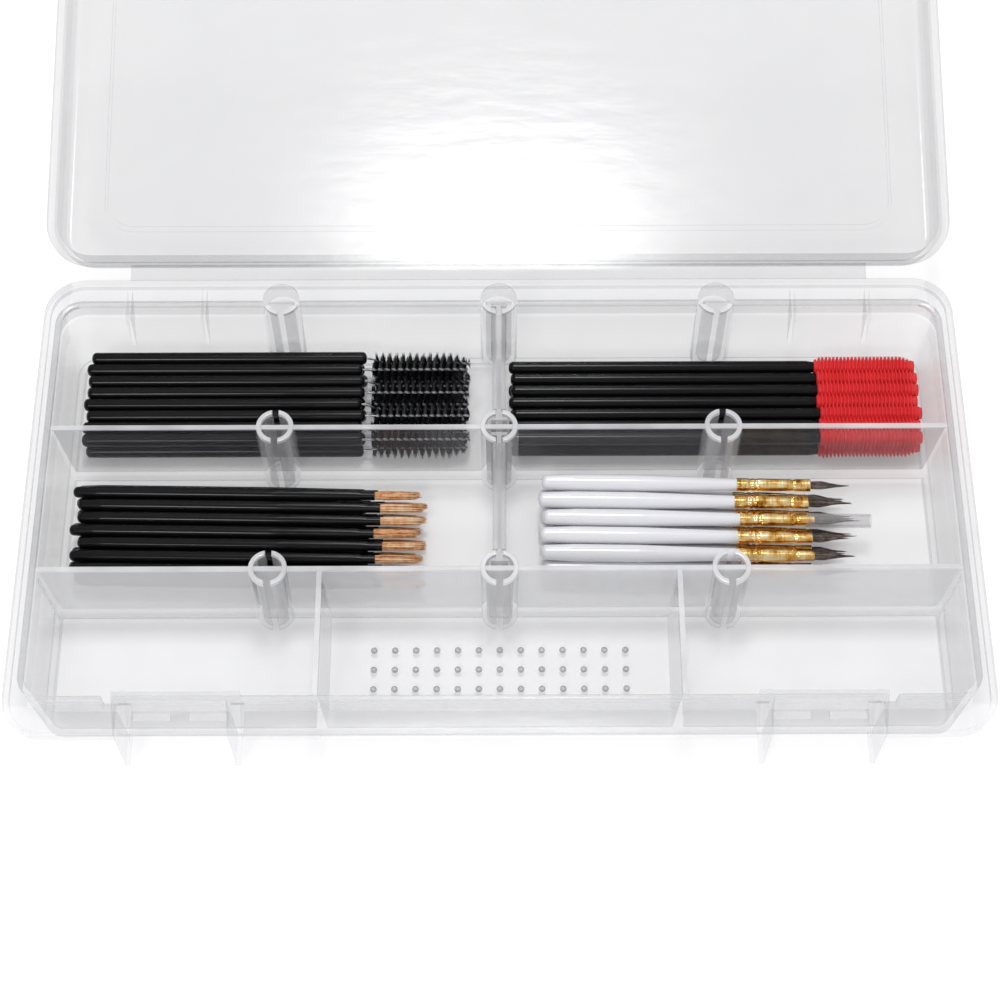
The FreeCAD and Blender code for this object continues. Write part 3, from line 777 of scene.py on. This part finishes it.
def crimped_ferrule(seed):
    """A tapering tube: r falls from 1.62 to 1.36 mm, less three rounded crimp grooves, with slight
    dents, and pressed oval in front."""
    random = np.random.default_rng(seed)
    x = np.linspace(LINER_HANDLE - 0.4, LINER_HANDLE + LINER_FERRULE, 72)
    along = x - LINER_HANDLE
    sides = 28
    angle = np.arange(sides) * TURN / sides
    radius = 1.62 - 0.26 * smooth_step((along - 6.0) / 12.0)
    for place, depth in ((3.0, 0.22), (4.4, 0.2), (13.6, 0.16)):
        radius = radius - depth * np.exp(-(((along - place) / 0.38) ** 2))
    dents = 0.05 * np.exp(-(((along - 9.0) / 3.0) ** 2))
    phase = random.random() * TURN
    ripple = 1.0 - dents[:, None] * (0.5 + 0.5 * np.cos(3 * angle + phase)[None, :])
    press = 0.12 * smooth_step((along - 11.0) / 6.0)
    oval = 1.0 + press[:, None] * np.cos(2 * angle + phase)[None, :]
    profile = radius[:, None] * ripple * oval
    rings = round_rings(x, profile, angle)
    return close_rings(rings, np.array([x[0], 0.0, 0.0]), np.array([x[-1], 0.0, 0.0]))


LINER_FERRULE_END = LINER_HANDLE + LINER_FERRULE
LINER_REACH = (0.0, -1.5, 0.8, 0.4, -0.6)
for layer, layer_name in enumerate(LAYERS):
    number = LINER_BRUSHES["layers"][layer][0]
    ferrules = [crimped_ferrule(900 + 10 * layer + n) for n in range(number)]
    piece(
        "crimped_ferrules_" + layer_name,
        lay(ferrules, LINER_BRUSHES, layer),
        FERRULE,
        "liner_bundle",
        ["liner_ferrules_" + layer_name],
    )
    tips = []
    for n in range(number):
        seed = 700 + 40 * layer + n
        length = LINER_HAIR + LINER_REACH[n]
        tips.append(tuft(seed, LINER_FERRULE_END, length, 0.95, 1.15, 0.12, 120, 0.07, 0.22))
    piece(
        "liner_points_" + layer_name,
        lay(tips, LINER_BRUSHES, layer),
        BROWN_HAIR,
        "liner_bundle",
        ["liner_hair_" + layer_name],
    )


# ---------------------------------------------------------------- floor pips

PIP_PITCH = 5.12
PIP_COLUMNS = 13
PIP_ROWS = 3
PIP_FIRST_Y = -32.5


def frosted_pips():
    """Low domes in rows: each is r = 0.85 cos(t), z = floor + 0.45 sin(t) for t from the rim to the crown."""
    t = np.linspace(0.0, 1.45, 6)
    sides = 16
    angle = np.arange(sides) * TURN / sides
    radius = 0.85 * np.cos(t)
    height = FLOOR_TOP + 0.02 + 0.45 * np.sin(t)
    rings = np.stack(
        [
            radius[:, None] * np.cos(angle),
            radius[:, None] * np.sin(angle),
            np.broadcast_to(height[:, None], (len(t), sides)),
        ],
        -1,
    )
    foot = np.array([0.0, 0.0, height[0]])
    crown = np.array([0.0, 0.0, height[-1] + 0.01])
    points, faces = close_rings(rings, foot, crown)
    row, column = np.meshgrid(np.arange(PIP_ROWS), np.arange(PIP_COLUMNS), indexing="ij")
    x = (column.ravel() - (PIP_COLUMNS - 1) / 2) * PIP_PITCH
    y = PIP_FIRST_Y - row.ravel() * PIP_PITCH
    centres = np.stack([x, y, np.zeros(len(x))], -1)
    return together([(points + centre, faces) for centre in centres])


piece(
    "frosted_pips",
    frosted_pips(),
    clear_polypropylene("frosted_polypropylene", 0.4, 0.2, (0.5, 0.5, 0.52)),
    "base",
    [],
)


# ---------------------------------------------------------------- living hinges

def strip(name, node, near, far):
    """A thin sheet between two edges that dips in a shallow arc: point = line from near to far,
    less a half sine across it."""
    low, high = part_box(node)
    half = (high.x - low.x) / 2.0 / MM
    middle = (high.x + low.x) / 2.0 / MM
    across = np.linspace(0.0, 1.0, 13)
    along = np.linspace(-half, half, 41)
    near = np.array(near)
    far = np.array(far)
    centre = near[None, :] + (far - near)[None, :] * across[:, None]
    direction = (far - near) / np.linalg.norm(far - near)
    normal = np.array([-direction[1], direction[0]])
    dip = 0.12 * np.linalg.norm(far - near) * np.sin(math.pi * across)
    line = centre - normal[None, :] * dip[:, None] * 0.3
    thickness = 0.18
    top = line + normal * thickness
    under = line - normal * thickness
    section = np.concatenate([top, under[::-1]])
    rings = np.stack(
        [
            np.broadcast_to(middle + along[:, None], (len(along), len(section))),
            np.broadcast_to(section[:, 0], (len(along), len(section))),
            np.broadcast_to(section[:, 1], (len(along), len(section))),
        ],
        -1,
    )
    first = np.array([middle - half, *section.mean(0)])
    last = np.array([middle + half, *section.mean(0)])
    points, faces = close_rings(rings, first, last)
    made = piece(name, (points, faces), POLYPROPYLENE, None, [node], smooth=False)
    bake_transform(made)


hinge_low, hinge_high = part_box("lid_hinge_strip")
strip(
    "folded_hinge_web",
    "lid_hinge_strip",
    (hinge_low.y / MM, hinge_low.z / MM + 0.25),
    (hinge_high.y / MM, hinge_high.z / MM - 0.25),
)
for side in ("left", "right"):
    node = "latch_strip_" + side
    low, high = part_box(node)
    strip(
        "latch_web_" + side,
        node,
        (low.y / MM, (low.z + high.z) / 2.0 / MM),
        (high.y / MM, (low.z + high.z) / 2.0 / MM),
    )


# ---------------------------------------------------------------- studio

def table_plane():
    """A level sheet far wider than the case."""
    mesh = bpy.data.meshes.new("table_sheet")
    reach = 4.0
    level = -0.0002
    corners = [(-reach, -reach), (reach, -reach), (reach, reach), (-reach, reach)]
    mesh.from_pydata([(x, y, level) for x, y in corners], [], [(0, 1, 2, 3)])
    mesh.materials.append(pale_table())
    sheet = bpy.data.objects.new("table_sheet", mesh)
    bpy.context.scene.collection.objects.link(sheet)


def soft_light(name, place, target, size, power):
    """A square soft box that looks at a point."""
    data = bpy.data.lights.new(name, "AREA")
    data.shape = "SQUARE"
    data.size = size
    data.energy = power
    lamp = bpy.data.objects.new(name, data)
    bpy.context.scene.collection.objects.link(lamp)
    lamp.location = place
    lamp.rotation_euler = (Vector(target) - Vector(place)).to_track_quat("-Z", "Y").to_euler()


table_plane()
soft_light("overhead_softbox", (0.0, 0.15, 0.9), (0.0, 0.05, 0.0), 0.16, 2.4)
soft_light("front_softbox", (-0.25, -0.7, 0.8), (0.0, 0.0, 0.0), 0.12, 1.6)
soft_light("back_softbox", (0.0, 1.0, 0.8), (0.0, 0.0, 0.0), 0.16, 0.9)

world = bpy.data.worlds.new("studio_surround")
world.use_nodes = True
surround = world.node_tree.nodes["Background"]
surround.inputs["Color"].default_value = (1.0, 1.0, 1.0, 1.0)
surround.inputs["Strength"].default_value = 0.62
bpy.context.scene.world = world
bpy.context.scene.view_settings.view_transform = "Standard"

lens = bpy.data.cameras.new("viewing_camera")
lens.lens = 78.68
lens.sensor_width = 36.0
viewer = bpy.data.objects.new("viewing_camera", lens)
bpy.context.scene.collection.objects.link(viewer)
viewer.location = (-0.0007, -0.2507, 0.4915)
viewer.rotation_euler = (math.radians(27.94), 0.0, math.radians(-0.197))
bpy.context.scene.camera = viewer
